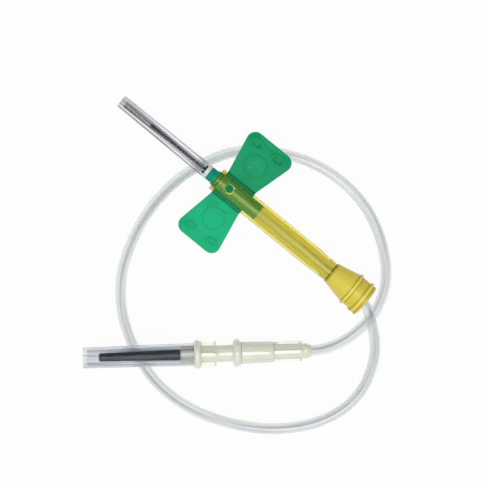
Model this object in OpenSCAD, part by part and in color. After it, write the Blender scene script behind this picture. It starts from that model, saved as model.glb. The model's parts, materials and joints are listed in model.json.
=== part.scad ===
// Winged blood-collection needle with a sliding needle shield, tubing and a luer adapter.
// Millimetres. +X points along the needle to its tip and +Z is up. The needle end lies on
// its shield collar and the tubing, and the origin is below the middle of that end.
// The needle end is laid out along its own axis, with 0 at the front of the wings' root,
// and the adapter end along the luer axis, with 0 at the mouth that the tubing enters.

/* [Cannulas] */
// Outer diameter of both steel cannulas
needle_d = 0.82; // [0.7:0.01:1.1]
// Bore of both steel cannulas
needle_bore = 0.51; // [0.3:0.01:0.6]
// Length of cannula ahead of the nose
needle_reach = 19.2; // [12:0.1:26]
// Angle of the bevels to the axis
bevel_angle = 14; // [10:1:25]
// Angle of the two side facets of the front bevel
lancet_angle = 22; // [16:1:30]
// Turn of the side facets about the axis
lancet_turn = 48; // [30:1:60]
// Depth of the adhesive in its well
bond_l = 0.7; // [0.3:0.1:1.2]
// Width of the adhesive round a cannula
bond_w = 0.3; // [0.15:0.01:0.35]

/* [Hub] */
// Diameter of the barrel that the shield slides over
barrel_d = 3.9; // [3.6:0.05:4.5]
// Length of barrel behind the wings
barrel_tail = 3.55; // [2:0.05:6]
// Diameter of the nose
nose_d = 3.4; // [3:0.05:3.6]
// Length of the nose ahead of the shield
nose_l = 2.3; // [1:0.1:4]
// Diameter of the spigot that holds the cap
spigot_d = 2.3; // [1.9:0.05:2.6]
// Length of the spigot
spigot_l = 1.5; // [1:0.1:3]
// Depth of the socket for the tubing
hub_socket_l = 7; // [3:0.1:9]
// Length of the barrel in front of the shield
barrel_lip = 0.6; // [0.2:0.1:0.6]
// Chamfer at the ends of the barrel and the nose
hub_chamfer = 0.2; // [0.05:0.05:0.4]

/* [Wings] */
// Length of a wing's root along the barrel
wing_root = 8.45; // [6:0.05:12]
// Span over both wings, laid flat
wing_span = 30.3; // [26:0.1:40]
// Thickness of a wing
wing_t = 1.0; // [0.8:0.05:1.2]
// How far the front edge runs forward for each millimetre outwards
front_flare = 0.19; // [0:0.01:0.3]
// How far the left wing's rear edge runs back for each millimetre outwards
rear_flare_left = 0.18; // [0:0.01:0.4]
// How far the right wing's rear edge runs back for each millimetre outwards
rear_flare_right = 0.28; // [0:0.01:0.4]
// Radius of the outer corners
corner_r = 2.2; // [1:0.1:3]
// Length of a locking peg on the left wing
peg_l = 2.6; // [1.6:0.1:3]
// Width of a locking peg
peg_w = 1.5; // [1:0.1:1.8]
// Height of the pegs and of the socket rims
peg_h = 0.6; // [0.3:0.05:0.9]
// Depth of the hollow in a peg's top
peg_hollow = 0.25; // [0.1:0.05:0.4]
// Distance between the two pegs along the wing's edge
peg_pitch = 6.4; // [5:0.1:8]
// Distance of the pegs from the wing's outer edge
peg_inset = 2.5; // [2.2:0.1:4]
// Width of the rim round a peg's socket
socket_rim = 0.5; // [0.2:0.05:0.6]
// Outer diameter of the raised ring on each wing
size_ring_d = 5.8; // [4:0.1:6]
// Width of that ring
size_ring_w = 0.3; // [0.2:0.05:0.6]
// Height of that ring
size_ring_h = 0.15; // [0.1:0.05:0.4]
// Place of the ring, as a distance from the wing's outer edge
size_ring_inset = 7.2; // [6:0.1:8]

/* [Needle shield] */
// Running gap between the barrel and the shield
bore_gap = 0.3; // [0.2:0.05:0.5]
// Wall of the shield
shield_wall = 0.55; // [0.4:0.05:0.9]
// How far the front ring stands out
ring_rise = 0.15; // [0.1:0.05:0.25]
// Length of the front ring
ring_l = 0.85; // [0.5:0.05:1.5]
// How far the locked shield reaches past the needle's tip
shield_beyond = 2.5; // [1:0.1:5]
// Length of the narrowing at the shield's rear
shield_taper_l = 5.9; // [3:0.1:10]
// Length of closed tube behind the slots
rear_band = 2.0; // [1:0.1:4]
// Wall at the narrow rear end
rear_wall = 0.34; // [0.25:0.01:0.5]
// Diameter of the lock window
window_d = 2.0; // [1.4:0.1:2.4]
// Place of the lock window behind the wings' front
window_at = 2.8; // [2:0.1:6]
// Gap between the wings' roots and the edges of their slots
slot_gap = 0.15; // [0.1:0.01:0.3]
// Rise of the slots' upper edges round the shield, in degrees
slot_rise = 45; // [20:1:50]

/* [Rear collar] */
// Length of the shield's spigot inside the collar
collar_seat_l = 2.6; // [1.5:0.1:4]
// Wall of the collar
collar_wall = 0.6; // [0.4:0.05:0.9]
// Wall of the collar at its front lip
collar_lip = 0.2; // [0.1:0.05:0.4]
// Diameter at the front grip ring
collar_d = 7.95; // [7:0.05:8.5]
// Diameter at the rear rim
collar_rim_d = 7.8; // [6.5:0.05:8.5]
// Length of the cone ahead of the front grip ring
collar_cone_l = 6.4; // [5:0.1:9]
// Distance between the two grip rings
collar_pitch = 3.2; // [2:0.1:5]
// Length behind the rear grip ring
collar_tail = 1.3; // [0.8:0.1:2]
// Diameter of the grip rings
grip_ring_d = 8.7; // [8.5:0.1:9.5]
// Thickness of the grip rings
grip_ring_t = 0.5; // [0.25:0.05:0.8]
// Length of the grip pad on the collar's left side
grip_pad_l = 2.4; // [1.5:0.1:3]
// Height of that pad
grip_pad_h = 1.8; // [1:0.1:3]

/* [Needle cap] */
// Wall of the cap round the hub's spigot
cap_wall = 0.58; // [0.4:0.02:0.8]
// Bore of the cap ahead of the spigot
cap_needle_bore = 1.8; // [1.4:0.1:2.2]
// Room in the cap ahead of the needle's tip
cap_room = 8.0; // [3:0.1:12]
// How much narrower the cap is at its closed end
cap_draft = 0.3; // [0.1:0.05:0.5]
// Length of the smooth band at the mouth
cap_band_l = 1.2; // [0.6:0.1:3]
// Number of flutes along the cap
cap_flutes = 14; // [8:1:18]
// Radius of a flute
flute_r = 0.16; // [0.1:0.01:0.2]
// Thickness of the cap's closed end
cap_end_wall = 1.2; // [0.6:0.1:2]

/* [Tubing] */
// Outer diameter of the tubing
tube_d = 2.5; // [2:0.05:2.6]

/* [Luer socket] */
// Length of the thin mouth that the tubing enters
mouth_l = 0.7; // [0.4:0.1:2]
// Wall round the tubing at the mouth
mouth_wall = 0.22; // [0.15:0.01:0.3]
// Length of the collar behind the mouth
neck_ring_l = 1.5; // [0.8:0.1:3]
// Diameter of that collar and of the ribbed core
core_d = 3.66; // [3.2:0.02:4.2]
// Length of the four ribs
rib_l = 7.1; // [5:0.1:10]
// Width of a rib
rib_w = 0.85; // [0.5:0.05:1.2]
// Diameter over the ribs
rib_d = 4.84; // [4.5:0.02:5.1]
// Length of the smooth body
body_l = 7.7; // [7:0.1:12]
// Diameter of the body at the ribs
body_small_d = 5.1; // [4.8:0.05:5.4]
// Diameter of the body at the flange
body_large_d = 5.5; // [5.2:0.05:6]
// Diameter of the luer flange
luer_flange_d = 6.9; // [6.5:0.1:7.8]
// Thickness of the luer flange
luer_flange_t = 2.0; // [1.2:0.1:2.6]
// Diameter of the female cone at its mouth
luer_mouth_d = 4.3; // [4.27:0.005:4.315]
// Depth of the female cone
luer_depth = 7.5; // [7.5:0.1:8.5]
// Depth of the socket for the tubing
luer_socket_l = 8; // [4:0.1:9]
// Bore between the tubing and the cone
lumen_d = 1.6; // [1:0.1:2]

/* [Luer adapter] */
// Length of the male cone inside the socket
luer_engage = 5.5; // [5:0.1:6.5]
// Length of the neck outside the socket
neck_l = 4.05; // [2:0.05:8]
// Diameter of the neck
neck_d = 4.12; // [3.8:0.02:4.2]
// Length of the four fins
fin_l = 3.75; // [2:0.05:6]
// Thickness of a fin
fin_t = 0.9; // [0.7:0.1:1.6]
// Diameter over the fins
fin_d = 6.1; // [5.4:0.1:6.6]
// Diameter of the stop flange
stop_d = 7.0; // [6.6:0.1:7.8]
// Thickness of the stop flange
stop_t = 1.7; // [1:0.1:2.4]
// Diameter of the stub that takes the holder's thread
thread_stub_d = 4.3; // [4:0.05:4.6]
// Length of that stub
thread_stub_l = 3.2; // [2:0.1:6]
// Diameter of the nib under the rubber sleeve
nib_d = 1.56; // [1.4:0.02:1.6]
// Length of the nib
nib_l = 2.5; // [1.5:0.1:4]
// Length of rear cannula outside the stub
rear_reach = 18.6; // [10:0.1:22]

/* [Rubber sleeve and cover] */
// Diameter of the rubber sleeve at its root
sleeve_root_d = 2.7; // [2.3:0.05:3]
// Diameter of the rubber sleeve at its closed end
sleeve_end_d = 2.0; // [1.8:0.05:2.3]
// Thickness of rubber over the rear cannula's tip
sleeve_end = 1.0; // [0.5:0.1:1.5]
// Bore of the rubber sleeve past the nib
sleeve_bore = 1.3; // [1.15:0.05:1.5]
// Wall of the clear cover at its mouth
cover_wall = 0.56; // [0.4:0.02:0.8]
// How much narrower the cover is at its closed end
cover_draft = 0.5; // [0.2:0.05:1]
// Room in the cover ahead of the rubber sleeve
cover_room = 2.8; // [1:0.1:6]
// Thickness of the cover's closed end
cover_end_wall = 1.0; // [0.6:0.1:2]
// Number of ribs inside the cover
cover_ribs = 8; // [4:1:10]
// Height of those ribs
cover_rib_h = 0.2; // [0.1:0.05:0.3]

/* [How it lies] */
// Upward tilt of the needle end, which clears the tubing below the shield's path
needle_tilt = 1.5; // [1.4:0.1:3]
// Upward tilt of the adapter end, which clears the tubing below the cover's path
luer_tilt = 4.7; // [4.5:0.1:6]
// Direction of the adapter end, from +X towards +Y
luer_heading = 40.8; // [35:0.1:45]
// Place of the adapter end's mouth along X
luer_x = -35.4; // [-38:0.1:-30]
// Place of the adapter end's mouth along Y
luer_y = 17.8; // [15:0.1:20]

/* [Hidden] */
$fn = 64;
// clearances
glue_gap = 0.01;      // round a bonded steel tube
fit = 0.02;           // round a push fit
over = 0.5;           // how far a cutter runs past the face that it opens
fold_gap = 0.1;       // between the shield and a folded wing
hinge_gap = 0.05;     // at the thin fold line of a wing
ring_land = 0.1;      // wall left between the slots and the front ring
nub_gap = 0.1;        // between the lock nub and the shield's bore
cone_ratio = 0.06;    // taper on the diameter of a luer cone
// stations along the needle axis
shield_front = slot_gap + ring_land + ring_l;
barrel_front = shield_front + barrel_lip;
nose_front = shield_front + nose_l;
spigot_front = nose_front + spigot_l;
needle_tip = nose_front + needle_reach;
barrel_back = -(wing_root + barrel_tail);
socket_floor = barrel_back + hub_socket_l;
cannula_back = socket_floor + bond_w;
cap_front = needle_tip + cap_room;
shield_travel = nose_l + needle_reach + shield_beyond;
slot_back = -(wing_root + shield_travel + slot_gap);
shield_back = slot_back - rear_band;
collar_step = shield_back - collar_seat_l;
grip_1 = shield_back - collar_cone_l;
grip_2 = grip_1 - collar_pitch;
collar_back = grip_2 - collar_tail;
// sizes across the needle axis
shield_bore = barrel_d + 2 * bore_gap;
shield_d = shield_bore + 2 * shield_wall;
rear_bore = barrel_d + bore_gap;
rear_d = rear_bore + 2 * rear_wall;
ring_d = shield_d + 2 * ring_rise;
collar_front_d = rear_d + 2 * (fit + collar_lip);
hinge_y = shield_d / 2 + fold_gap + wing_t / 2;
stub_y = hinge_y - wing_t / 2 - hinge_gap;
tip_y = wing_span / 2;
peg_y = tip_y - peg_inset;
size_ring_y = tip_y - size_ring_inset;
rear_flare_mean = (rear_flare_left + rear_flare_right) / 2;
wing_mid = -(wing_root + (rear_flare_mean - front_flare) * (peg_y - hinge_y)) / 2;
cap_bore = spigot_d + 2 * fit;
cap_d = cap_bore + 2 * cap_wall;
cap_end_d = cap_d - cap_draft;
bond_d = needle_d + 2 * bond_w;
// stations along the luer axis
rib_start = mouth_l + neck_ring_l;
body_start = rib_start + rib_l;
flange_start = body_start + body_l;
luer_face = flange_start + luer_flange_t;
cone_floor = luer_face - luer_depth;
male_tip = luer_face - luer_engage;
fin_start = luer_face + neck_l;
stop_start = fin_start + fin_l;
stop_face = stop_start + stop_t;
stub_face = stop_face + thread_stub_l;
nib_face = stub_face + nib_l;
rear_tip = stub_face + rear_reach;
rear_back = stop_start;
sleeve_start = stub_face + fit;
sleeve_tip = rear_tip + sleeve_end;
cover_tip = sleeve_tip + cover_room + cover_end_wall;
cover_bore = thread_stub_d + 2 * fit;
cover_d = cover_bore + 2 * cover_wall;
cover_end_d = cover_d - cover_draft;
// how both ends lie
axis_x = ((-collar_back - cap_front) * cos(needle_tilt)
          + (collar_rim_d - cap_end_d) / 2 * sin(needle_tilt)) / 2;
axis_z = grip_ring_d / 2 * cos(needle_tilt)
         - (grip_2 - grip_ring_t / 2) * sin(needle_tilt);
luer_z = rib_d / 2 * cos(luer_tilt) - rib_start * sin(luer_tilt);
function on_needle(s) = [axis_x + s * cos(needle_tilt), 0, axis_z + s * sin(needle_tilt)];
function on_luer(q) = [luer_x + q * cos(luer_tilt) * cos(luer_heading),
                       luer_y + q * cos(luer_tilt) * sin(luer_heading),
                       luer_z + q * sin(luer_tilt)];
// the tubing's route: out of the hub, through the shield, round its loops and into the luer
tube_route = concat(
    [for (s = [socket_floor, barrel_back, -23, -34]) on_needle(s)],
    [[-33.5, 0.1, 4.4], [-38.5, 0.9, 4.2], [-42.4, 3.3, 3.9], [-46.1, 6.4, 3],
     [-49.1, 10.7, 1.6], [-51.1, 17.5, 1.2], [-50.2, 24.9, 1.2], [-46.3, 32.3, 1.2],
     [-39.4, 39.1, 1.2], [-30.5, 44.3, 1.2], [-21, 47.3, 1.2], [-11.5, 47.5, 1.2],
     [-2.5, 44.8, 1.2], [6, 39.5, 1.2], [12, 32.2, 1.2], [15.4, 23.2, 1.2],
     [16.6, 14, 1.2], [15.3, 4, 1.2], [10.7, -6.2, 1.2], [3.5, -12.9, 1.2],
     [-5.5, -17.3, 1.2], [-15, -18.8, 1.2], [-24.4, -17.4, 1.2], [-32.9, -12.9, 1.2],
     [-39, -6.6, 1.2], [-41.6, 1, 1.2], [-40.9, 8.5, 1.2], [-38.6, 14, 1.6]],
    [for (q = [0, luer_socket_l]) on_luer(q)]);
tube_sides = 8;
tube_steps = 2;

function unit(v) = v / norm(v);
// one coordinate-free cubic through four neighbouring route points
function blend(a, b, c, d, t) =
    b + t / 2 * (c - a + t * (2 * a - 5 * b + 4 * c - d + t * (3 * (b - c) + d - a)));
// the route with steps added between its points, never lower than lying on the surface
function smooth(p) = let (last = len(p) - 1) [
    for (i = [0 : last - 1], k = [0 : tube_steps - 1])
        let (at = blend(p[max(i - 1, 0)], p[i], p[i + 1], p[min(i + 2, last)], k / tube_steps))
        [at.x, at.y, max(at.z, tube_d / 2)],
    p[last]];
// directions of the path at a station, sideways and upwards of it
function heading(p, i) = unit(p[min(i + 1, len(p) - 1)] - p[max(i - 1, 0)]);
function sideways(h) = unit(cross([0, 0, 1], h));
// corners of one ring of the tubing
function ring_at(p, i) = let (h = heading(p, i), n = sideways(h), u = cross(h, n)) [
    for (k = [0 : tube_sides - 1]) let (turn = 360 * k / tube_sides)
        p[i] + tube_d / 2 * (cos(turn) * n + sin(turn) * u)];

module on_needle_axis() {
    translate(on_needle(0)) rotate([0, -needle_tilt, 0]) children();
}

module on_luer_axis() {
    translate(on_luer(0)) rotate([0, 0, luer_heading]) rotate([0, -luer_tilt, 0]) children();
}

// a rod or a cone along X
module rod(from, to, d, to_d = undef) {
    translate([from, 0, 0]) rotate([0, 90, 0])
        cylinder(h = to - from, d1 = d, d2 = is_undef(to_d) ? d : to_d);
}

// a profile of radius and station, turned about X
module turned() {
    rotate([0, 90, 0]) rotate_extrude() children();
}

// a flange with a half-round rim, as a profile
module round_rim(from, t, d) {
    translate([0, from]) square([d / 2 - t / 2, t]);
    translate([d / 2 - t / 2, from + t / 2]) intersection() {
        circle(d = t);
        translate([0, -t]) square([t, 2 * t]);
    }
}

// everything above a plane that rises backwards from the lower edge of a tip
module above_bevel(tip, angle) {
    span = 4 * needle_d / tan(angle);
    translate([tip, 0, -needle_d / 2]) rotate([0, angle, 0])
        translate([-span, -needle_d, 0]) cube([2 * span, 2 * needle_d, span]);
}

// a steel tube with its bore, ground to a bevel that faces upwards
module ground_tube(from, to) {
    difference() {
        rod(from, to, needle_d);
        rod(from - over, to + over, needle_bore);
        above_bevel(to, bevel_angle);
    }
}

// adhesive in a well, round a steel tube
module bond_ring(face) {
    difference() {
        rod(face - bond_l, face, bond_d - 2 * glue_gap);
        rod(face - bond_l - over, face + over, needle_d + 2 * glue_gap);
    }
}

module needle_hub() {
    color("#00966f") on_needle_axis() difference() {
        union() {
            turned() polygon([
                [0, barrel_back], [barrel_d / 2 - hub_chamfer, barrel_back],
                [barrel_d / 2, barrel_back + hub_chamfer], [barrel_d / 2, barrel_front],
                [nose_d / 2, barrel_front], [nose_d / 2, nose_front - hub_chamfer],
                [nose_d / 2 - hub_chamfer, nose_front], [spigot_d / 2, nose_front],
                [spigot_d / 2, spigot_front], [0, spigot_front]]);
            // roots of the wings
            translate([-wing_root, -stub_y, -wing_t / 2]) cube([wing_root, 2 * stub_y, wing_t]);
            // lock nub below the shield's window
            translate([-window_at, 0, 0])
                cylinder(h = shield_bore / 2 - nub_gap, d = window_d * 0.7);
        }
        rod(barrel_back - over, socket_floor, tube_d + 2 * fit);
        rod(socket_floor - over, spigot_front + over, needle_d + 2 * glue_gap);
        rod(spigot_front - bond_l, spigot_front + over, bond_d);
    }
}

module cannula() {
    color("#c9ccd0") on_needle_axis() difference() {
        ground_tube(cannula_back, needle_tip);
        for (side = [-1, 1]) rotate([side * lancet_turn, 0, 0])
            above_bevel(needle_tip, lancet_angle);
    }
}

module cannula_bond() {
    color("#dfe6e4") on_needle_axis() bond_ring(spigot_front);
}

module needle_cap() {
    taper = atan(cap_draft / 2 / (cap_front - nose_front));
    color("#e8ecee", 0.5) on_needle_axis() difference() {
        turned() polygon([
            [0, nose_front], [cap_d / 2, nose_front], [cap_end_d / 2, cap_front - flute_r],
            [cap_end_d / 2 - flute_r, cap_front], [0, cap_front]]);
        rod(nose_front - over, spigot_front + fit, cap_bore);
        rod(spigot_front, cap_front - cap_end_wall, cap_needle_bore,
            cap_needle_bore - cap_draft / 2);
        for (k = [1 : cap_flutes]) rotate([360 * k / cap_flutes, 0, 0])
            translate([nose_front + cap_band_l, 0, cap_d / 2 + flute_r / 3])
                rotate([0, 90 + taper, 0]) cylinder(h = cap_front - nose_front, r = flute_r);
    }
}

// outline of a flat wing on the +Y side, from its fold line outwards
function wing_front(y) = front_flare * (y - hinge_y);
function wing_rear(y, rear_flare) = -wing_root - rear_flare * (y - hinge_y);

module wing_outline(rear_flare) {
    front_lean = atan(front_flare);
    rear_lean = atan(rear_flare);
    corner_y = tip_y - corner_r;
    front_c = [wing_front(corner_y) - corner_r / cos(front_lean), corner_y];
    rear_c = [wing_rear(corner_y, rear_flare) + corner_r / cos(rear_lean), corner_y];
    for (c = [front_c, rear_c]) translate(c) circle(r = corner_r);
    polygon([
        [-wing_root, hinge_y], [0, hinge_y],
        front_c + corner_r * [cos(front_lean), -sin(front_lean)],
        front_c, [front_c.x, tip_y], [rear_c.x, tip_y], rear_c,
        rear_c + corner_r * [-cos(rear_lean), -sin(rear_lean)]]);
}

// a long round plan form, centred
module slot_plan(l, w) {
    square([l - w, w], center = true);
    for (end = [-1, 1]) translate([end * (l - w) / 2, 0]) circle(d = w);
}

module wing_leaf(rear_flare) {
    translate([0, 0, -wing_t / 2]) linear_extrude(wing_t) wing_outline(rear_flare);
    translate([0, hinge_y, 0]) rod(-wing_root, 0, wing_t);
    translate([wing_mid, size_ring_y, 0]) linear_extrude(wing_t / 2 + size_ring_h) difference() {
        circle(d = size_ring_d);
        circle(d = size_ring_d - 2 * size_ring_w);
    }
}

module at_pegs() {
    for (end = [-1, 1]) translate([wing_mid + end * peg_pitch / 2, peg_y, 0]) children();
}

module left_wing() {
    color("#00ab76") on_needle_axis() difference() {
        union() {
            wing_leaf(rear_flare_left);
            at_pegs() linear_extrude(wing_t / 2 + peg_h) slot_plan(peg_l, peg_w);
        }
        at_pegs() translate([0, 0, wing_t / 2 + peg_h - peg_hollow])
            linear_extrude(over) slot_plan(peg_l - peg_w / 2, peg_w / 2);
    }
}

module right_wing() {
    rim_l = peg_l + 4 * fit + 2 * socket_rim;
    rim_w = peg_w + 4 * fit + 2 * socket_rim;
    color("#009c68") on_needle_axis() mirror([0, 1, 0]) difference() {
        union() {
            wing_leaf(rear_flare_right);
            at_pegs() linear_extrude(wing_t / 2 + peg_h / 2) slot_plan(rim_l, rim_w);
        }
        at_pegs() translate([0, 0, wing_t / 2 - peg_h / 2])
            linear_extrude(2 * peg_h) slot_plan(rim_l - 2 * socket_rim, rim_w - 2 * socket_rim);
    }
}

module safety_shield() {
    taper_front = shield_back + shield_taper_l;
    color("#c9c23c", 0.7) on_needle_axis() difference() {
        turned() difference() {
            polygon([
                [0, shield_front], [ring_d / 2, shield_front], [ring_d / 2, shield_front - ring_l],
                [shield_d / 2, shield_front - ring_l], [shield_d / 2, taper_front],
                [rear_d / 2, shield_back], [rear_d / 2, collar_step], [0, collar_step]]);
            polygon([
                [0, shield_front + over], [shield_bore / 2, shield_front + over],
                [shield_bore / 2, taper_front], [rear_bore / 2, shield_back],
                [rear_bore / 2, collar_step - over], [0, collar_step - over]]);
        }
        // slots that the wings' roots run in, open upwards where the wings fold
        translate([slot_back, 0, 0]) rotate([90, 0, 90]) linear_extrude(slot_gap - slot_back)
            polygon([
                [-shield_d, -wing_t / 2 - slot_gap], [shield_d, -wing_t / 2 - slot_gap],
                [shield_d, shield_d * tan(slot_rise)], [0, 0],
                [-shield_d, shield_d * tan(slot_rise)]]);
        // lock window over the hub's nub
        translate([-window_at, 0, 0]) cylinder(h = shield_d, d = window_d);
    }
}

module rear_collar() {
    cone_end = grip_1 + grip_ring_t;
    color("#ddd036", 0.9) on_needle_axis() difference() {
        union() {
            turned() polygon([
                [0, shield_back], [collar_front_d / 2, shield_back], [collar_d / 2, cone_end],
                [collar_rim_d / 2, collar_back], [0, collar_back]]);
            for (s = [grip_1, grip_2]) rod(s - grip_ring_t / 2, s + grip_ring_t / 2, grip_ring_d);
            // grip pad on the left side, over the rear ring
            translate([grip_2, collar_rim_d / 2 - collar_wall / 2, 0]) rotate([-90, 0, 0])
                linear_extrude((grip_ring_d - collar_rim_d + collar_wall) / 2)
                    slot_plan(grip_pad_l, grip_pad_h);
        }
        rod(collar_step, shield_back + over, rear_d + 2 * fit);
        turned() polygon([
            [0, collar_step + fit], [rear_d / 2 + fit, collar_step + fit],
            [collar_d / 2 - collar_wall, cone_end], [collar_rim_d / 2 - collar_wall, collar_back],
            [collar_rim_d / 2 - collar_wall, collar_back - over], [0, collar_back - over]]);
    }
}

module tubing() {
    path = smooth(tube_route);
    rings = len(path);
    color("#d5dadc", 0.7) polyhedron(
        points = [for (i = [0 : rings - 1]) each ring_at(path, i)],
        faces = concat(
            [[for (k = [0 : tube_sides - 1]) k]],
            [for (i = [0 : rings - 2], k = [0 : tube_sides - 1])
                let (a = i * tube_sides, b = a + tube_sides, n = (k + 1) % tube_sides)
                [a + n, a + k, b + k, b + n]],
            [[for (k = [tube_sides - 1 : -1 : 0]) (rings - 1) * tube_sides + k]]));
}

module female_luer() {
    cone_floor_d = luer_mouth_d - cone_ratio * luer_depth;
    color("#dfe1cb") on_luer_axis() difference() {
        union() {
            turned() union() {
                polygon([
                    [0, 0], [tube_d / 2 + fit + mouth_wall, 0],
                    [tube_d / 2 + fit + mouth_wall, mouth_l], [core_d / 2, mouth_l],
                    [core_d / 2, body_start], [body_small_d / 2, body_start],
                    [body_large_d / 2, flange_start], [0, flange_start]]);
                round_rim(flange_start, luer_flange_t, luer_flange_d);
            }
            for (side = [0, 90]) rotate([side, 0, 0])
                translate([rib_start, -rib_w / 2, -rib_d / 2]) cube([rib_l, rib_w, rib_d]);
        }
        rod(-over, luer_socket_l, tube_d + 2 * fit);
        rod(luer_socket_l - over, luer_face, lumen_d);
        rod(cone_floor, luer_face, cone_floor_d, luer_mouth_d);
        rod(luer_face, luer_face + over, luer_mouth_d);
    }
}

module luer_adapter() {
    male_d = luer_mouth_d - 2 * fit;
    color("#e6e8d6") on_luer_axis() difference() {
        union() {
            turned() union() {
                polygon([
                    [0, male_tip], [male_d / 2 - cone_ratio / 2 * luer_engage, male_tip],
                    [male_d / 2, luer_face], [neck_d / 2, luer_face + fit],
                    [neck_d / 2, stop_start], [0, stop_start]]);
                round_rim(stop_start, stop_t, stop_d);
                polygon([
                    [0, stop_face], [thread_stub_d / 2, stop_face],
                    [thread_stub_d / 2, stub_face], [nib_d / 2, stub_face],
                    [nib_d / 2, nib_face], [0, nib_face]]);
            }
            // fins with a round front, below the stop flange
            for (side = [0, 90]) rotate([side, 0, 0]) {
                translate([fin_start + fin_t / 2, -fin_t / 2, -fin_d / 2])
                    cube([fin_l - fin_t / 2 + stop_t / 2, fin_t, fin_d]);
                translate([fin_start + fin_t / 2, 0, -fin_d / 2]) cylinder(h = fin_d, d = fin_t);
            }
        }
        rod(male_tip - over, rear_back, lumen_d);
        rod(rear_back - over, nib_face + over, needle_d + 2 * glue_gap);
        rod(nib_face - bond_l, nib_face + over, bond_d - bond_w);
    }
}

module rear_cannula() {
    color("#c9ccd0") on_luer_axis() ground_tube(rear_back, rear_tip);
}

module rear_cannula_bond() {
    color("#dfe6e4") on_luer_axis() difference() {
        rod(nib_face - bond_l, nib_face, bond_d - bond_w - 2 * glue_gap);
        rod(nib_face - bond_l - over, nib_face + over, needle_d + 2 * glue_gap);
    }
}

module rubber_sleeve() {
    dome = sleeve_end_d / 4;
    color("#3e3f4a") on_luer_axis() difference() {
        turned() union() {
            polygon([
                [0, sleeve_start], [sleeve_root_d / 2, sleeve_start],
                [sleeve_end_d / 2, sleeve_tip - dome], [0, sleeve_tip - dome]]);
            round_rim(sleeve_tip - 2 * dome, 2 * dome, sleeve_end_d);
        }
        rod(sleeve_start - over, nib_face + fit, nib_d + 2 * fit);
        rod(nib_face, rear_tip + fit, sleeve_bore);
    }
}

module sleeve_cover() {
    room_end = cover_tip - cover_end_wall;
    near_bore = cover_bore - 2 * fit;
    far_bore = cover_end_d - 2 * cover_wall;
    slope = atan((near_bore - far_bore) / 2 / (room_end - stub_face));
    color("#e3e8ee", 0.5) on_luer_axis() {
        difference() {
            turned() polygon([
                [0, stop_face], [cover_d / 2, stop_face], [cover_end_d / 2, cover_tip - fold_gap],
                [cover_end_d / 2 - fold_gap, cover_tip], [0, cover_tip]]);
            rod(stop_face - over, stub_face + fit, cover_bore);
            rod(stub_face, room_end, near_bore, far_bore);
        }
        // ribs along the tapered inside, sunk into the wall
        for (k = [1 : cover_ribs]) rotate([360 * k / cover_ribs, 0, 0])
            translate([stub_face + cover_rib_h, 0, near_bore / 2 - cover_rib_h])
                rotate([0, slope, 0]) translate([0, -cover_rib_h / 2, 0])
                    cube([room_end - stub_face, cover_rib_h, cover_rib_h + cover_wall / 2]);
    }
}

needle_hub();
cannula();
cannula_bond();
needle_cap();
left_wing();
right_wing();
safety_shield();
rear_collar();
tubing();
female_luer();
luer_adapter();
rear_cannula();
rear_cannula_bond();
rubber_sleeve();
sleeve_cover();
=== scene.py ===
import json
import math

import bmesh
import bpy
from mathutils import Matrix, Vector


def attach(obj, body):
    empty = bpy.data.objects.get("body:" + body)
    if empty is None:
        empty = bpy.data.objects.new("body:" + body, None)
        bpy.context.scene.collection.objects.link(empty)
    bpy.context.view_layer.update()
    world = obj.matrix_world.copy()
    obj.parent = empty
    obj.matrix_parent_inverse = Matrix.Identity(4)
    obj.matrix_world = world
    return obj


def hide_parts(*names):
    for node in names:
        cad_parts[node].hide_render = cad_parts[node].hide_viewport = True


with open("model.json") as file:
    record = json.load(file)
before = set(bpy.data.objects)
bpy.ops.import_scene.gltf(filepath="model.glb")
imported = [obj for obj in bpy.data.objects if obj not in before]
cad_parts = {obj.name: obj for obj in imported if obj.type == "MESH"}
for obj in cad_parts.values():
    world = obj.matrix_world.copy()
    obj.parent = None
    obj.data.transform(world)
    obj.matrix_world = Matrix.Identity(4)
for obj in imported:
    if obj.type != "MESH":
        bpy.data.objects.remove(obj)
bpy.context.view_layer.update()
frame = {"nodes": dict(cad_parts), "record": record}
mm = 0.001
record = frame["record"]
joints = {joint["name"]: joint for joint in record["behaviour"]["joints"]}
mounts = {mount["name"]: mount for mount in record["mounts"]}
bodyOfNode = {node: body for body, nodes in record["behaviour"]["bodies"].items() for node in nodes}
print("stage: frame loaded")


# Camera: straight down, as the photograph looks

cameraValues = {
    "centre": (-6.5, 8.0),          # point of the floor in the middle of the picture, mm
    "rightWay": (-0.775, -0.632),   # the floor direction that runs to the picture's right
    "height": 450.0,                # above the floor, mm
    "pictureWidth": 119.0,          # floor that the picture spans, mm
}


def makeCamera(values):
    data = bpy.data.cameras.new("camera")
    data.lens = data.sensor_width * values["height"] / values["pictureWidth"]
    data.clip_start = 0.01
    data.clip_end = 20
    camera = bpy.data.objects.new("camera", data)
    bpy.context.collection.objects.link(camera)
    right = Vector((*values["rightWay"], 0)).normalized()
    back = Vector((0, 0, 1))
    turn = Matrix((right, back.cross(right), back)).transposed().to_4x4()
    x, y = values["centre"]
    camera.matrix_world = Matrix.Translation(Vector((x, y, values["height"])) * mm) @ turn
    bpy.context.scene.camera = camera


makeCamera(cameraValues)


# The two axes that the pieces are set along, read from the frame

stations = {                  # along each axis, mm, as in the part's source
    "hinge": -4.2,            # where the wing joints are stated on the needle axis
    "barrelBack": -12.0,
    "hubSocketFloor": -5.0,
    "luerFace": 19.0,
    "luerSocketFloor": 8.0,
    "window": -2.8,
    "windowReach": 1.3,       # radius that holds the window's wall and eased edge
    "capMouth": 4.3,          # back end of the cap's frosted mouth
}


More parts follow.
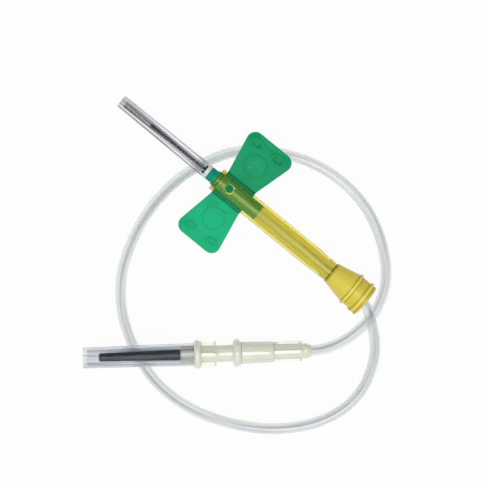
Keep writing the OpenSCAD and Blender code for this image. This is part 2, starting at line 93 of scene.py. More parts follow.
class Axis:
    def __init__(self, point, along, station):
        self.along = Vector(along).normalized()
        self.side = Vector((0, 0, 1)).cross(self.along).normalized()
        self.up = self.along.cross(self.side)
        self.start = Vector(point) - self.along * station * mm

    def at(self, station, side=0.0, up=0.0):
        return self.start + (self.along * station + self.side * side + self.up * up) * mm

    def matrix(self, station=0.0):
        turn = Matrix((self.along, self.side, self.up)).transposed().to_4x4()
        return Matrix.Translation(self.at(station)) @ turn


hingeX, hingeY, hingeZ = joints["left_wing_fold"]["pos_m"]
needleAxis = Axis((hingeX, 0, hingeZ), joints["left_wing_fold"]["axis"], stations["hinge"])
luerAxis = Axis(mounts["luer_socket"]["pos_m"], mounts["luer_socket"]["axis"],
                stations["luerFace"])


# Node helper and colours

def hexColor(text):
    channels = [int(text[k:k + 2], 16) / 255 for k in (1, 3, 5)]
    linear = [c / 12.92 if c <= 0.04045 else ((c + 0.055) / 1.055) ** 2.4 for c in channels]
    return (*linear, 1)


def addNode(tree, kind, inputs=None, **settings):
    node = tree.nodes.new(kind)
    for name, value in settings.items():
        setattr(node, name, value)
    for socket, value in (inputs or {}).items():
        if isinstance(value, bpy.types.NodeSocket):
            tree.links.new(value, node.inputs[socket])
        else:
            node.inputs[socket].default_value = value
    return node


def perMetre(size):
    return 1 / (size * mm)


# Surfaces: each has a cloudy colour, an uneven gloss and a fine skin at its own sizes in mm

looks = {
    # soft PVC, moulded: green barrel and roots of the wings, teal where the nose begins
    "mouldedPvcHub": {
        "stations": ((1.8, "#00A56B"), (2.0, "#008C74")), "grainSize": 0.35,
        "roughness": (0.24, 0.32), "bump": 0.03,
        "shader": {"IOR": 1.52, "Specular IOR Level": 0.15}},
    # the same PVC in the shade beside the shield, and at the lock nub
    "mouldedPvcGreenShaded": {
        "color": "#00854F", "cloudColor": "#007E4A", "cloudSize": 5, "grainSize": 0.3,
        "roughness": (0.34, 0.44), "bump": 0.05,
        "shader": {"IOR": 1.52, "Specular IOR Level": 0.12}},
    # soft PVC, moulded: green with a satin skin; the same PVC is painted lighter on the wing that
    # faces the light and in a darker painted shade on the other wing
    "mouldedPvcGreen": {
        "color": "#00B47C", "cloudColor": "#00A972", "cloudSize": 7, "grainSize": 0.3,
        "roughness": (0.34, 0.44), "bump": 0.05,
        "shader": {"IOR": 1.52, "Specular IOR Level": 0.12}},
    # the darker painted shade of the same PVC, for the other wing
    "mouldedPvcGreenWingShade": {
        "color": "#009C66", "cloudColor": "#00935E", "cloudSize": 7, "grainSize": 0.3,
        "roughness": (0.34, 0.44), "bump": 0.05,
        "shader": {"IOR": 1.52, "Specular IOR Level": 0.12}},
    # the same PVC on the raised digits, painted lighter as a highlight on their thin edges
    "mouldedPvcGreenDigitHighlight": {
        "color": "#08A472", "cloudColor": "#059F6E", "cloudSize": 2, "grainSize": 0.3,
        "roughness": (0.30, 0.40), "bump": 0.03,
        "shader": {"IOR": 1.52, "Specular IOR Level": 0.3}},
    # tinted polycarbonate, moulded: yellow, clear enough to show the green barrel, with a
    # sheen of its own yellow that the inner wall sends back, and a darker painted shade at
    # both edges of its front ring
    "mouldedPolycarbonateYellow": {
        "stations": ((-36.0, "#EBE27E"), (0.1, "#EBE27E"), (0.25, "#B09A48"), (0.45, "#E6DC74"),
                     (0.85, "#E6DC74"), (1.1, "#A8923E")),
        "grainSize": 2.0, "edgeShade": "#86702C", "edgeFrom": 0.5, "boreEdgeFrom": 0.3,
        "roughness": (0.28, 0.30), "bump": 0.0,
        "shader": {"IOR": 1.08, "Transmission Weight": 0.95, "Metallic": 0.07,
                   "Coat Weight": 0.3, "Coat Roughness": 0.25, "Coat IOR": 1.6}},
    # the same polycarbonate at the window's edge, painted pale as a highlight on the window's rim
    "mouldedPolycarbonateRimHighlight": {
        "color": "#DCEBAE", "cloudColor": "#D2E2A2", "cloudSize": 1, "grainSize": 0.3,
        "roughness": (0.25, 0.35), "bump": 0.02,
        "shader": {"IOR": 1.4, "Transmission Weight": 0.3}},
    # pigmented polypropylene, moulded: the collar is the same yellow but hardly clear, with
    # brown painted shade in the corners beside its two rings and a painted highlight on top of them
    "mouldedPolypropyleneYellow": {
        "stations": (
            (-45.6, "#C9B433"), (-45.2, "#D9C941"), (-44.85, "#A08A20"), (-44.65, "#DCCB3E"),
            (-44.2, "#F2E25A"), (-43.8, "#DCCB3E"), (-43.65, "#A08A20"), (-43.4, "#D6C63E"),
            (-41.7, "#D6C63E"), (-41.5, "#A08A20"), (-41.35, "#DCCB3E"), (-41.0, "#F2E25A"),
            (-40.65, "#DCCB3E"), (-40.5, "#A08A20"), (-40.3, "#DCCD48"), (-35.2, "#D9CA46"),
            (-34.8, "#A89228"), (-34.6, "#A89228")),
        "grainSize": 0.6, "edgeShade": "#A88A20", "edgeFrom": 0.7,
        "roughness": (0.26, 0.32), "bump": 0.01,
        "shader": {"IOR": 1.49, "Subsurface Weight": 0.15, "Subsurface Scale": 0.0008,
                   "Subsurface Radius": (1.0, 0.9, 0.4)}},
    # clarified polypropylene, moulded: clear cap with painted dark and light streaks along it that
    # stand in for the refraction of its flutes
    "mouldedClarifiedPolypropylene": {
        "color": "#FDFDFE", "cloudColor": "#85868B", "cloudSize": 0.5, "streaky": True,
        "grainSize": 2.0,
        "edgeShade": "#4C4D52", "edgeFrom": 0.6, "boreEdgeFrom": 0.3,
        "roughness": (0.28, 0.30), "bump": 0.0,
        "drawn": (60, 1, 1),
        "shader": {"IOR": 1.12, "Transmission Weight": 1.0, "Coat Weight": 0.25,
                   "Coat Roughness": 0.22, "Coat IOR": 1.6}},
    # the same polypropylene at the cap's mouth, frosted white where it grips the spigot
    "mouldedPolypropyleneFrosted": {
        "color": "#F4F6F6", "cloudColor": "#E6EAEA", "cloudSize": 0.8, "grainSize": 0.3,
        "roughness": (0.35, 0.45), "bump": 0.03,
        "shader": {"IOR": 1.49, "Transmission Weight": 0.25}},
    # clear polystyrene, moulded: bright cover with a faint blue cast, and painted grey streaks
    # along it for the refraction of its ribs
    "mouldedClearPolystyrene": {
        "color": "#FDFEFF", "cloudColor": "#C3C7CF", "cloudSize": 0.6, "streaky": True,
        "grainSize": 2.0,
        "edgeShade": "#8B8F99", "edgeFrom": 0.6, "boreEdgeFrom": 0.4,
        "roughness": (0.28, 0.30), "bump": 0.0,
        "drawn": (60, 1, 1),
        "shader": {"IOR": 1.12, "Transmission Weight": 1.0, "Coat Weight": 0.6,
                   "Coat Roughness": 0.22, "Coat IOR": 1.4}},
    # flexible PVC, extruded: clear grey tube with painted light and grey streaks along it as
    # highlights
    "extrudedClearPvc": {
        "color": "#F7F8F8", "cloudColor": "#D3D7D9", "cloudSize": 0.8, "streaky": True,
        "grainSize": 0.6, "edgeShade": "#6A6F73", "edgeFrom": 0.68, "boreEdgeFrom": 0.6,
        "roughness": (0.28, 0.30), "bump": 0.0,
        "uvMap": "alongTube", "drawn": (1, 60, 1),
        "shader": {"IOR": 1.12, "Transmission Weight": 1.0, "Coat Weight": 0.45,
                   "Coat Roughness": 0.22, "Coat IOR": 1.6}},
    # unpigmented ABS, moulded: ivory and a little translucent
    "mouldedNaturalAbs": {
        "color": "#E2E4D4", "cloudColor": "#DCDECB", "cloudSize": 5, "grainSize": 0.5,
        "roughness": (0.10, 0.15), "bump": 0.01,
        "shader": {"IOR": 1.53, "Subsurface Weight": 0.3, "Subsurface Scale": 0.001,
                   "Subsurface Radius": (1.0, 1.0, 0.9), "Coat Weight": 1.0,
                   "Coat Roughness": 0.05, "Coat IOR": 1.55}},
    # isoprene rubber, dipped: dark grey sleeve with a dull sheen
    "dippedIsopreneRubber": {
        "color": "#34353F", "cloudColor": "#2B2C35", "cloudSize": 3, "grainSize": 0.2,
        "roughness": (0.38, 0.50), "bump": 0.08,
        "shader": {"IOR": 1.52, "Specular IOR Level": 0.25}},
    # stainless steel, drawn: painted darker than bare steel, for the dark reflections between its
    # highlights, with fine lines along the tube
    "drawnStainlessSteel": {
        "color": "#6E7075", "cloudColor": "#5E6065", "cloudSize": 2, "grainSize": 0.12,
        "roughness": (0.12, 0.22), "bump": 0.04, "drawn": (30, 1, 1),
        "shader": {"Metallic": 1.0}},
    # acrylate adhesive, cured: clear bead with a wet gloss
    "curedAcrylate": {
        "color": "#EEF2F0", "cloudColor": "#E2E8E5", "cloudSize": 1, "grainSize": 0.5,
        "roughness": (0.05, 0.10), "bump": 0.01,
        "shader": {"IOR": 1.48, "Transmission Weight": 0.7}},
}
skinDepth = 0.3       # height of a skin's relief, as a share of its grain


def setStops(ramp, stops):
    while len(ramp.elements) < len(stops):
        ramp.elements.new(1.0)
    for element, (position, color) in zip(ramp.elements, stops):
        element.position = position
        element.color = hexColor(color)


def insideLook(look):  # the wall that a core pin or a mandrel left has no gloss of its own
    return {**look, "edgeFrom": look["boreEdgeFrom"],
            "shader": {**look["shader"], "Metallic": 0.0, "Coat Weight": 0.0,
                       "Transmission Weight": 1.0}}


def surfaceMaterial(name, look, turn=(0, 0, 0)):
    material = bpy.data.materials.new(name)
    material.use_nodes = True
    tree = material.node_tree
    tree.nodes.clear()
    if "uvMap" in look:
        place = addNode(tree, "ShaderNodeUVMap", uv_map=look["uvMap"]).outputs["UV"]
    else:
        place = addNode(tree, "ShaderNodeTexCoord").outputs["Object"]
    # drawn marks are the steel's fine lines, and the painted streaks of the clear pieces
    if "drawn" in look:  # marks drawn out along the piece
        place = addNode(tree, "ShaderNodeMapping",
                        {"Vector": place, "Rotation": turn, "Scale": look["drawn"]},
                        vector_type="TEXTURE").outputs["Vector"]
    # the stations' colours are the hub's two tones, and painted shade and highlights on the shield
    # and collar
    if "stations" in look:  # shades at stations of the needle axis, mm
        reach = addNode(tree, "ShaderNodeVectorMath", {0: place, 1: needleAxis.along},
                        operation="DOT_PRODUCT").outputs["Value"]
        first, last = look["stations"][0][0], look["stations"][-1][0]
        low, high = (needleAxis.at(station).dot(needleAxis.along) for station in (first, last))
        shade = addNode(tree, "ShaderNodeMapRange",
                        {"Value": reach, "From Min": low, "From Max": high}).outputs["Result"]
        stops = [((station - first) / (last - first), color) for station, color in look["stations"]]
    else:
        shade = addNode(tree, "ShaderNodeTexNoise",
                        {"Vector": place, "Scale": perMetre(look["cloudSize"]),
                         "Detail": 3.0}).outputs["Fac"]
        spread = 0.06 if look.get("streaky") else 0.15
        stops = [(0.5 - spread, look["cloudColor"]), (0.5 + spread, look["color"])]
    skin = addNode(tree, "ShaderNodeTexNoise",
                   {"Vector": place, "Scale": perMetre(look["grainSize"]), "Detail": 4.0})
    color = addNode(tree, "ShaderNodeValToRGB", {"Fac": shade})
    setStops(color.color_ramp, stops)
    color = color.outputs["Color"]
    if "edgeShade" in look:  # a wall seen edge-on is thicker to the eye, and darker; the dark edge is partly that and partly painted shade
        slant = addNode(tree, "ShaderNodeLayerWeight", {"Blend": 0.5}).outputs["Facing"]
        edge = addNode(tree, "ShaderNodeMapRange",
                       {"Value": slant, "From Min": look["edgeFrom"], "From Max": 1.0})
        color = addNode(tree, "ShaderNodeMixRGB",
                        {"Fac": edge.outputs["Result"], "Color1": color,
                         "Color2": hexColor(look["edgeShade"])}).outputs["Color"]
    low, high = look["roughness"]
    gloss = addNode(tree, "ShaderNodeMapRange",
                    {"Value": skin.outputs["Fac"], "From Min": 0.3, "From Max": 0.7,
                     "To Min": low, "To Max": high})
    bump = addNode(tree, "ShaderNodeBump",
                   {"Height": skin.outputs["Fac"], "Strength": look["bump"],
                    "Distance": look["grainSize"] * mm * skinDepth})
    shader = addNode(tree, "ShaderNodeBsdfPrincipled",
                     {"Base Color": color, "Roughness": gloss.outputs["Result"],
                      "Normal": bump.outputs["Normal"], **look["shader"]})
    addNode(tree, "ShaderNodeOutputMaterial", {"Surface": shader.outputs["BSDF"]})
    return material


for name in ("mouldedPolycarbonateYellow", "mouldedClarifiedPolypropylene",
             "mouldedClearPolystyrene", "extrudedClearPvc"):
    looks[name + "Inside"] = insideLook(looks[name])
turns = {"mouldedClearPolystyrene": luerAxis, "mouldedClearPolystyreneInside": luerAxis}
materials = {}
for name, look in looks.items():
    turn = (0, 0, 0) if "uvMap" in look else turns.get(name, needleAxis).matrix().to_euler()
    materials[name] = surfaceMaterial(name, look, turn)
materials["drawnStainlessSteelRear"] = surfaceMaterial(
    "drawnStainlessSteelRear", looks["drawnStainlessSteel"], luerAxis.matrix().to_euler())
print("stage: materials", len(materials))


def linkPiece(name, mesh, *materialNames):
    piece = bpy.data.objects.new(name, mesh)
    bpy.context.collection.objects.link(piece)
    for material in materialNames:
        mesh.materials.append(materials[material])
    return piece


# Tubing: one cord from the hub to the luer socket

tubingValues = {
    "piece": "flexTubing", "material": "extrudedClearPvc",
    "outer": 2.5,         # mm
    "bore": 1.6,          # mm
    "sides": 28,
    "steps": 8,           # rings for each stretch of the route
}
tubeRoute = [
    needleAxis.at(stations["hubSocketFloor"]) / mm,
    needleAxis.at(stations["barrelBack"]) / mm,
    needleAxis.at(-23) / mm,
    needleAxis.at(-34) / mm,
    (-33.5, 0.1, 4.4), (-38.5, 0.9, 4.2), (-42.4, 3.3, 3.9), (-46.1, 6.4, 3),
    (-49.1, 10.7, 1.6), (-51.1, 17.5, 1.2), (-50.2, 24.9, 1.2), (-46.3, 32.3, 1.2),
    (-39.4, 39.1, 1.2), (-30.5, 44.3, 1.2), (-21, 47.3, 1.2), (-11.5, 47.5, 1.2),
    (-2.5, 44.8, 1.2), (6, 39.5, 1.2), (12, 32.2, 1.2), (15.4, 23.2, 1.2),
    (16.6, 14, 1.2), (15.3, 4, 1.2), (10.7, -6.2, 1.2), (3.5, -12.9, 1.2),
    (-5.5, -17.3, 1.2), (-15, -18.8, 1.2), (-24.4, -17.4, 1.2), (-32.9, -12.9, 1.2),
    (-39, -6.6, 1.2), (-41.6, 1, 1.2), (-40.9, 8.5, 1.2), (-38.6, 14, 1.6),
    luerAxis.at(0) / mm,
    luerAxis.at(stations["luerSocketFloor"]) / mm,
]


def smoothPath(route, steps, lowest):
    points = [Vector(p) for p in route]
    last = len(points) - 1
    path = []
    for i in range(last):
        a, b, c, d = (points[max(0, min(last, i + k))] for k in (-1, 0, 1, 2))
        for step in range(steps):
            t = step / steps
            p = b + t / 2 * (c - a + t * (2 * a - 5 * b + 4 * c - d + t * (3 * (b - c) + d - a)))
            p.z = max(p.z, lowest)
            path.append(p * mm)
    return path + [points[last] * mm]


def pathFrames(path):
    frames = []
    for i, point in enumerate(path):
        along = (path[min(i + 1, len(path) - 1)] - path[max(i - 1, 0)]).normalized()
        side = Vector((0, 0, 1)).cross(along).normalized()
        frames.append((point, side, along.cross(side)))
    return frames


def pathLength(path):
    return sum((b - a).length for a, b in zip(path, path[1:]))


def wallRings(bm, path, radius, sides):
    rings = []
    for point, side, up in pathFrames(path):
        turns = [2 * math.pi * k / sides for k in range(sides)]
        rings.append([bm.verts.new(point + radius * (math.cos(a) * side + math.sin(a) * up))
                      for a in turns])
    return rings


def makeTubing(path, values):
    bm = bmesh.new()
    sides = values["sides"]
    along = bm.loops.layers.uv.new(looks[values["material"]]["uvMap"])
    walls = [wallRings(bm, path, values[wall] * mm / 2, sides) for wall in ("outer", "bore")]
    girth = math.pi * values["outer"] * mm
    for wall, rings in enumerate(walls):
        reach = 0.0
        for i, (low, high) in enumerate(zip(rings, rings[1:])):
            step = (path[i + 1] - path[i]).length
            for k in range(sides):
                n = (k + 1) % sides
                corners = [(low[n], k + 1, 0), (low[k], k, 0), (high[k], k, 1), (high[n], k + 1, 1)]
                if wall == 0:
                    corners.reverse()
                face = bm.faces.new([corner for corner, turn, end in corners])
                face.material_index = wall
                for loop, (corner, turn, end) in zip(face.loops, corners):
                    loop[along].uv = (girth * turn / sides, reach + end * step)
            reach += step
    for end in (0, -1):
        outside, inside = walls[0][end], walls[1][end]
        for k in range(sides):
            n = (k + 1) % sides
            bm.faces.new((outside[k], outside[n], inside[n], inside[k]))
    bmesh.ops.recalc_face_normals(bm, faces=bm.faces)
    for face in bm.faces:
        face.smooth = True
    mesh = bpy.data.meshes.new(values["piece"])
    bm.to_mesh(mesh)
    bm.free()
    return linkPiece(values["piece"], mesh, values["material"], values["material"] + "Inside")


tubePath = smoothPath(tubeRoute, tubingValues["steps"], tubingValues["outer"] / 2)
tubing = makeTubing(tubePath, tubingValues)
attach(tubing, "hub")
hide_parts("tubing")
print("stage: tubing", round(pathLength(tubePath) / mm, 1), "mm")


# Rigid pieces: copies of the CAD nodes with their edges eased, as moulding and grinding do

easeValues = {
    "mergeDistance": 0.002,   # mm
    "flatAngle": 0.4,         # triangles of one flat face are joined below this, degrees
    "sharpAngle": 32,         # an edge above this is eased, degrees
    "segments": 2,
}


def meshOfNode(node):
    bm = bmesh.new()
    bm.from_mesh(frame["nodes"][node].data)
    bmesh.ops.remove_doubles(bm, verts=bm.verts, dist=easeValues["mergeDistance"] * mm)
    bmesh.ops.dissolve_limit(bm, angle_limit=math.radians(easeValues["flatAngle"]),
                             verts=bm.verts, edges=bm.edges)
    return bm


def cutLengthwise(bm, axis, first, last, step):
    # short faces along a straight wall, so that its highlight runs straight
    for k in range(1, math.ceil((last - first) / step)):
        everything = list(bm.verts) + list(bm.edges) + list(bm.faces)
        bmesh.ops.bisect_plane(bm, geom=everything, dist=1e-7, plane_no=axis.along,
                               plane_co=axis.at(first + k * step))


def sharpEdges(bm):
    least = math.radians(easeValues["sharpAngle"])
    return [edge for edge in bm.edges if edge.is_manifold and edge.calc_face_angle() > least]


def awayFromFolds(edges):  # the wings and the hub meet flush where they fold
    toLocal = needleAxis.matrix().inverted()
    kept = []
    for edge in edges:
        middle = toLocal @ ((edge.verts[0].co + edge.verts[1].co) / 2)
        if abs(abs(middle.y) - abs(hingeY)) > 0.03 * mm:
            kept.append(edge)
    return kept


# Which faces of a piece take its other materials: place and normal are in the axis' own frame

def isInside(place, normal):
    away = Vector((0, place.y, place.z)).normalized()
    return normal.dot(away) < -0.3


def isShaded(place, normal):     # roots of the wings and the lock nub
    return abs(place.y) > 2.0 * mm or place.z > 2.0 * mm


# faces at the window's rim, which take its painted highlight
def isWindowEdge(place, normal):
    fromMiddle = math.hypot(place.x - stations["window"] * mm, place.y)
    return place.z > 0 and fromMiddle < stations["windowReach"] * mm and normal.z < 0.97


def isMouth(place, normal):
    return place.x < stations["capMouth"] * mm


def markFaces(bm, axis, tests):
    bm.normal_update()
    toLocal = axis.matrix().inverted()
    for face in bm.faces:
        place = toLocal @ face.calc_center_median()
        normal = toLocal.to_3x3() @ face.normal
        for k, test in enumerate(tests):
            if test(place, normal):
                face.material_index = k + 1


def easeEdges(bm, edges, radius):
    if radius and edges:
        bmesh.ops.bevel(bm, geom=edges, offset=radius * mm, offset_type="OFFSET",
                        segments=easeValues["segments"], profile=0.5, affect="EDGES",
                        clamp_overlap=True)


def keepFlatsFlat(piece):
    modifier = piece.modifiers.new("flats", "WEIGHTED_NORMAL")
    modifier.keep_sharp = True
    bpy.context.view_layer.update()
    shown = piece.evaluated_get(bpy.context.evaluated_depsgraph_get())
    piece.data = bpy.data.meshes.new_from_object(shown)
    piece.modifiers.clear()


def finishPiece(bm, values):
    bmesh.ops.triangulate(bm, faces=[face for face in bm.faces if len(face.verts) > 4])
    others = values.get("others", {})
    markFaces(bm, values.get("axis", needleAxis), others.values())
    for face in bm.faces:
        face.smooth = True
    mesh = bpy.data.meshes.new(values["piece"])
    bm.to_mesh(mesh)
    bm.free()
    mesh.set_sharp_from_angle(angle=math.radians(easeValues["sharpAngle"]))
    piece = linkPiece(values["piece"], mesh, values["material"], *others)
    keepFlatsFlat(piece)
    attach(piece, bodyOfNode[values["node"]])
    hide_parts(values["node"])
    return piece


def fitHub(bm, values):
    toLocal = needleAxis.matrix().inverted()
    for vert in bm.verts:
        place = toLocal @ vert.co
        if abs(place.y) > values["rootsFrom"] * mm:
            vert.co += needleAxis.side * math.copysign(values["rootsReach"] * mm, place.y)
        vert.co -= needleAxis.up * max(0.0, place.z - values["nubTop"] * mm)


def windowEdges(bm):
    toLocal = needleAxis.matrix().inverted()
    return [edge for edge in sharpEdges(bm) if isWindowEdge(
        toLocal @ ((edge.verts[0].co + edge.verts[1].co) / 2), Vector())]


def easedPiece(values):
    bm = meshOfNode(values["node"])
    if "windowEdge" in values:
        easeEdges(bm, windowEdges(bm), values["windowEdge"])
    if "rootsReach" in values:
        fitHub(bm, values)
    easeEdges(bm, awayFromFolds(sharpEdges(bm)), values["edge"])
    if "cuts" in values:
        cutLengthwise(bm, *values["cuts"])
    return finishPiece(bm, values)


hub = {"node": "needle_hub", "piece": "hubMoulding", "slot": "hub_plastic",
       "material": "mouldedPvcHub", "edge": 0.08,
       "others": {"mouldedPvcGreenShaded": isShaded},
       "rootsFrom": 2.8, "rootsReach": 0.04,    # roots stretched to meet the wings, mm
       "nubTop": 2.08}    # clears the shield's narrow rear bore at the end of its slide, mm
needleTube = {"node": "cannula", "piece": "needleTube", "slot": "steel",
              "material": "drawnStainlessSteel", "edge": 0}
needleBond = {"node": "cannula_bond", "piece": "needleBond", "slot": "adhesive",
              "material": "curedAcrylate", "edge": 0.05}
needleCap = {"node": "needle_cap", "piece": "needleCapShell", "slot": "clear_cap",
             "material": "mouldedClarifiedPolypropylene", "edge": 0.03,
             "others": {"mouldedClarifiedPolypropyleneInside": isInside,
                        "mouldedPolypropyleneFrosted": isMouth},
             "cuts": (needleAxis, 2.6, 30.6, 1.7)}     # along the axis, mm: from, to, step
shield = {"node": "safety_shield", "piece": "shieldTube", "slot": "shield_plastic",
          "material": "mouldedPolycarbonateYellow", "edge": 0.06, "windowEdge": 0.2,
          "others": {"mouldedPolycarbonateYellowInside": isInside,
                     "mouldedPolycarbonateRimHighlight": isWindowEdge},
          "cuts": (needleAxis, -37, 1, 1.5)}
collar = {"node": "rear_collar", "piece": "shieldCollar", "slot": "collar_plastic",
          "material": "mouldedPolypropyleneYellow", "edge": 0.06}
luerSocket = {"node": "female_luer", "piece": "luerSocketBody", "slot": "luer_plastic",
              "material": "mouldedNaturalAbs", "edge": 0.08, "cuts": (luerAxis, 0, 19, 1.5)}
luerAdapter = {"node": "luer_adapter", "piece": "luerAdapterBody", "slot": "luer_plastic",
               "material": "mouldedNaturalAbs", "edge": 0.08, "cuts": (luerAxis, 13, 34, 1.5)}
rearNeedleTube = {"node": "rear_cannula", "piece": "rearNeedleTube", "slot": "steel",
                  "material": "drawnStainlessSteelRear", "edge": 0}
rearNeedleBond = {"node": "rear_cannula_bond", "piece": "rearNeedleBond", "slot": "adhesive",
                  "material": "curedAcrylate", "edge": 0.04}
sleeve = {"node": "rubber_sleeve", "piece": "sleeveBoot", "slot": "sleeve_rubber",
          "material": "dippedIsopreneRubber", "edge": 0.06}
cover = {"node": "sleeve_cover", "piece": "coverShell", "slot": "clear_cover",
         "material": "mouldedClearPolystyrene", "edge": 0.05,
         "axis": luerAxis, "others": {"mouldedClearPolystyreneInside": isInside},
         "cuts": (luerAxis, 28, 56, 1.7)}
pieces = {values["node"]: easedPiece(values) for values in (
    hub, needleTube, needleBond, needleCap, shield, collar, luerSocket, luerAdapter,
    rearNeedleTube, rearNeedleBond, sleeve, cover)}
print("stage: rigid pieces", len(pieces))


# Thread turns on the adapter's stub, which screw into a tube holder

threadValues = {
    "piece": "holderThread", "material": "mouldedNaturalAbs",
    "turns": 3,
    "pitch": 1.0,         # mm
    "first": 29.2,        # station of the first turn, mm
    "crest": 2.14,        # radius at the crest, mm
    "depth": 0.2,         # of a turn, mm
    "lean": 4.0,          # of a turn against the axis, degrees
}


def threadTree(values):
    tree = bpy.data.node_groups.new("threadTurns", "GeometryNodeTree")
    tree.interface.new_socket("Geometry", in_out="INPUT", socket_type="NodeSocketGeometry")
    sockets = {}
    for label, kind in (("Turns", "Int"), ("Pitch", "Float"), ("Crest", "Float"),
                        ("Depth", "Float"), ("Lean", "Float")):
        socket = tree.interface.new_socket(label, in_out="INPUT", socket_type="NodeSocket" + kind)
        sockets[label] = socket.identifier
    tree.interface.new_socket("Geometry", in_out="OUTPUT", socket_type="NodeSocketGeometry")
    given = addNode(tree, "NodeGroupInput").outputs
    middle = addNode(tree, "ShaderNodeMath", {0: given["Crest"], 1: given["Depth"]},
                     operation="SUBTRACT").outputs[0]
    circle = addNode(tree, "GeometryNodeCurvePrimitiveCircle",
                     {"Resolution": 72, "Radius": middle}).outputs["Curve"]
    profile = addNode(tree, "GeometryNodeCurvePrimitiveCircle",
                      {"Resolution": 12, "Radius": given["Depth"]}).outputs["Curve"]
    turn = addNode(tree, "GeometryNodeCurveToMesh",
                   {"Curve": circle, "Profile Curve": profile}).outputs["Mesh"]
    leaning = addNode(tree, "ShaderNodeCombineXYZ", {"X": given["Lean"]}).outputs["Vector"]
    leant = addNode(tree, "GeometryNodeTransform",
                    {"Geometry": turn, "Rotation": leaning}).outputs["Geometry"]
    step = addNode(tree, "ShaderNodeCombineXYZ", {"Z": given["Pitch"]}).outputs["Vector"]
    line = addNode(tree, "GeometryNodeMeshLine",
                   {"Count": given["Turns"], "Offset": step}).outputs["Mesh"]
    placed = addNode(tree, "GeometryNodeInstanceOnPoints",
                     {"Points": line, "Instance": leant}).outputs["Instances"]
    real = addNode(tree, "GeometryNodeRealizeInstances", {"Geometry": placed}).outputs["Geometry"]
    smooth = addNode(tree, "GeometryNodeSetShadeSmooth", {"Geometry": real}).outputs["Geometry"]
    coated = addNode(tree, "GeometryNodeSetMaterial",
                     {"Geometry": smooth, "Material": materials[values["material"]]})
    addNode(tree, "NodeGroupOutput", {"Geometry": coated.outputs["Geometry"]})
    return tree, sockets


def makeThread(values):
    tree, sockets = threadTree(values)
    mesh = bpy.data.meshes.new(values["piece"])
    thread = bpy.data.objects.new(values["piece"], mesh)
    bpy.context.collection.objects.link(thread)
    modifier = thread.modifiers.new("turns", "NODES")
    modifier.node_group = tree
    for label, value in (("Turns", values["turns"]), ("Pitch", values["pitch"] * mm),
                         ("Crest", values["crest"] * mm), ("Depth", values["depth"] * mm),
                         ("Lean", math.radians(values["lean"]))):
        modifier[sockets[label]] = value
    bpy.context.view_layer.update()
    shown = thread.evaluated_get(bpy.context.evaluated_depsgraph_get())
    thread.data = bpy.data.meshes.new_from_object(shown)
    thread.modifiers.clear()
    turn = Matrix((luerAxis.side, luerAxis.up, luerAxis.along)).transposed().to_4x4()
    thread.data.transform(Matrix.Translation(luerAxis.at(values["first"])) @ turn)
    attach(thread, bodyOfNode["luer_adapter"])


makeThread(threadValues)
print("stage: thread", threadValues["turns"])


# Wings: the outline has a fuller round than the pegs, rims and rings on top

leftWing = {"node": "left_wing", "piece": "leftWingLeaf", "slot": "wing_plastic",
            "material": "mouldedPvcGreen", "edge": 0.08}
# the right wing takes the darker painted shade of the same PVC
rightWing = {"node": "right_wing", "piece": "rightWingLeaf", "slot": "wing_plastic",
             "material": "mouldedPvcGreenWingShade", "edge": 0.08}
wingOutline = {"edge": 0.28, "thickness": 1.0}    # mm


def outlineEdges(bm):
    toLocal = needleAxis.matrix().inverted()
    half = wingOutline["thickness"] * mm / 2
    found = {-1: {}, 1: {}}
    for edge in awayFromFolds(sharpEdges(bm)):
        middle = toLocal @ ((edge.verts[0].co + edge.verts[1].co) / 2)
        for face in found:
            if abs(middle.z - face * half) < 0.01 * mm:
                found[face][(round(middle.x / mm, 2), round(middle.y / mm, 2))] = edge
    both = found[-1].keys() & found[1].keys()
    return [found[face][place] for face in found for place in sorted(both)]


def wingPiece(values):
    bm = meshOfNode(values["node"])
    easeEdges(bm, outlineEdges(bm), wingOutline["edge"])
    easeEdges(bm, awayFromFolds(sharpEdges(bm)), values["edge"])
    return finishPiece(bm, values)


for values in (leftWing, rightWing):
    pieces[values["node"]] = wingPiece(values)


# Size number in the right wing's ring, raised and read with the needle pointing up

sizeNumber = {
    # the digits take a lighter painted green, a painted highlight on their edges
    "piece": "sizeNumber", "material": "mouldedPvcGreenDigitHighlight",
    "text": "21",
    "height": 3.4,        # of the type, mm
    "rise": 0.12,         # above the wing, mm
    "round": 0.09,        # of the digits' edges, mm
    "station": -4.41,
    "side": -7.95,
}


def makeSizeNumber(values):
    curve = bpy.data.curves.new(values["piece"], "FONT")
    curve.body = values["text"]
    curve.size = values["height"] * mm
    curve.extrude = (values["rise"] - values["round"]) * mm
    curve.bevel_depth = values["round"] * mm
    curve.offset = -values["round"] * mm
    curve.align_x = "CENTER"
    curve.align_y = "CENTER"
    text = bpy.data.objects.new("sizeNumberCurve", curve)
    bpy.context.collection.objects.link(text)
    bpy.context.view_layer.update()
    shown = text.evaluated_get(bpy.context.evaluated_depsgraph_get())
    mesh = bpy.data.meshes.new_from_object(shown)
    bpy.data.objects.remove(text)
    turn = Matrix((-needleAxis.side, needleAxis.along, needleAxis.up)).transposed().to_4x4()
    place = needleAxis.at(values["station"], values["side"], wingOutline["thickness"] / 2)
    mesh.transform(Matrix.Translation(place) @ turn)
    bm = bmesh.new()
    bm.from_mesh(mesh)
    bmesh.ops.remove_doubles(bm, verts=bm.verts, dist=easeValues["mergeDistance"] * mm)
    bmesh.ops.recalc_face_normals(bm, faces=bm.faces)
    bm.to_mesh(mesh)
    bm.free()
    number = linkPiece(values["piece"], mesh, values["material"])
    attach(number, "right_leaf")


makeSizeNumber(sizeNumber)
print("stage: wings")


# Floor, world and lamps

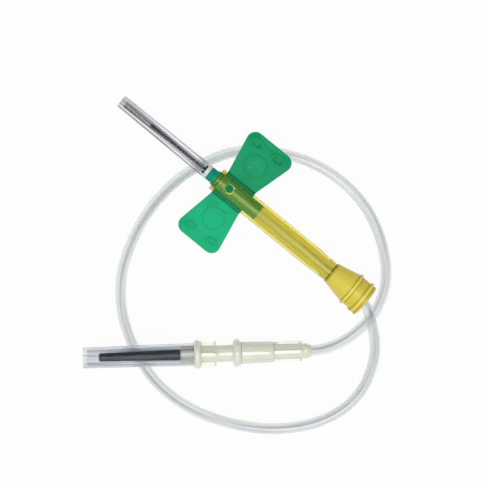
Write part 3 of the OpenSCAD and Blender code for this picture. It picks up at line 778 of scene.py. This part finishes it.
stageValues = {
    "floorSize": 3.0,       # m
    "floorDrop": 0.02,      # below the lowest point, mm
    "floorColor": "#E9EAEA",
    "whiteShare": 0.94,     # how much of the floor is plain white to the eye
    "skyStrength": 0.76,
    "brightSide": (-0.3, 0.95, 0),    # the side of the room that is brighter
    "sideShare": 0.4,                 # how much brighter than the middle
    # brightness of the sky at heights from the horizon, 0, to straight up, 1
    "skyLevels": ((0.0, "#202326"), (0.3, "#F4F6F8"), (0.6, "#FFFFFF"), (0.88, "#FFFFFF"),
                  (0.96, "#202224")),
}
lamps = {       # name: (place in m, size in m, power in W)
    "softboxLamp": ((-0.1, 0.12, 1.0), 0.72, 4.4),
}


def makeFloor(values):
    bm = bmesh.new()
    bmesh.ops.create_grid(bm, x_segments=1, y_segments=1, size=values["floorSize"] / 2)
    mesh = bpy.data.meshes.new("floor")
    bm.to_mesh(mesh)
    bm.free()
    floor = bpy.data.objects.new("floor", mesh)
    floor.location.z = -values["floorDrop"] * mm
    bpy.context.collection.objects.link(floor)
    material = bpy.data.materials.new("paperFloor")
    material.use_nodes = True
    tree = material.node_tree
    tree.nodes.clear()
    ray = addNode(tree, "ShaderNodeLightPath")
    seen = ray.outputs["Is Camera Ray"]
    for kind in ("Is Glossy Ray", "Is Transmission Ray"):
        seen = addNode(tree, "ShaderNodeMath", {0: seen, 1: ray.outputs[kind]},
                       operation="MAXIMUM").outputs[0]
    share = addNode(tree, "ShaderNodeMath", {0: seen, 1: values["whiteShare"]},
                    operation="MULTIPLY")
    paper = addNode(tree, "ShaderNodeBsdfDiffuse", {"Color": hexColor(values["floorColor"])})
    white = addNode(tree, "ShaderNodeEmission", {"Color": (1, 1, 1, 1), "Strength": 1.0})
    mixed = addNode(tree, "ShaderNodeMixShader", {0: share.outputs[0], 1: paper.outputs[0],
                                                  2: white.outputs[0]})
    addNode(tree, "ShaderNodeOutputMaterial", {"Surface": mixed.outputs[0]})
    mesh.materials.append(material)


def makeWorld(values):
    world = bpy.data.worlds.new("studio")
    world.use_nodes = True
    tree = world.node_tree
    tree.nodes.clear()
    place = addNode(tree, "ShaderNodeTexCoord")
    height = addNode(tree, "ShaderNodeSeparateXYZ", {"Vector": place.outputs["Generated"]})
    sky = addNode(tree, "ShaderNodeValToRGB", {"Fac": height.outputs["Z"]})
    setStops(sky.color_ramp, values["skyLevels"])
    toSide = addNode(tree, "ShaderNodeVectorMath",
                     {0: place.outputs["Generated"], 1: values["brightSide"]},
                     operation="DOT_PRODUCT").outputs["Value"]
    middle, share = values["skyStrength"], values["sideShare"]
    strength = addNode(tree, "ShaderNodeMapRange",
                       {"Value": toSide, "From Min": -1.0, "From Max": 1.0,
                        "To Min": middle * (1 - share), "To Max": middle * (1 + share)})
    light = addNode(tree, "ShaderNodeBackground",
                    {"Color": sky.outputs["Color"], "Strength": strength.outputs["Result"]})
    addNode(tree, "ShaderNodeOutputWorld", {"Surface": light.outputs["Background"]})
    bpy.context.scene.world = world


def makeLamp(name, place, size, power):
    data = bpy.data.lights.new(name, "AREA")
    data.shape = "DISK"
    data.size = size
    data.energy = power
    lamp = bpy.data.objects.new(name, data)
    lamp.location = place
    lamp.rotation_euler = (-Vector(place)).to_track_quat("-Z", "Y").to_euler()
    bpy.context.collection.objects.link(lamp)


makeFloor(stageValues)
makeWorld(stageValues)
for name, (place, size, power) in lamps.items():
    makeLamp(name, place, size, power)
bpy.context.scene.view_settings.view_transform = "Standard"
print("stage: floor and light")
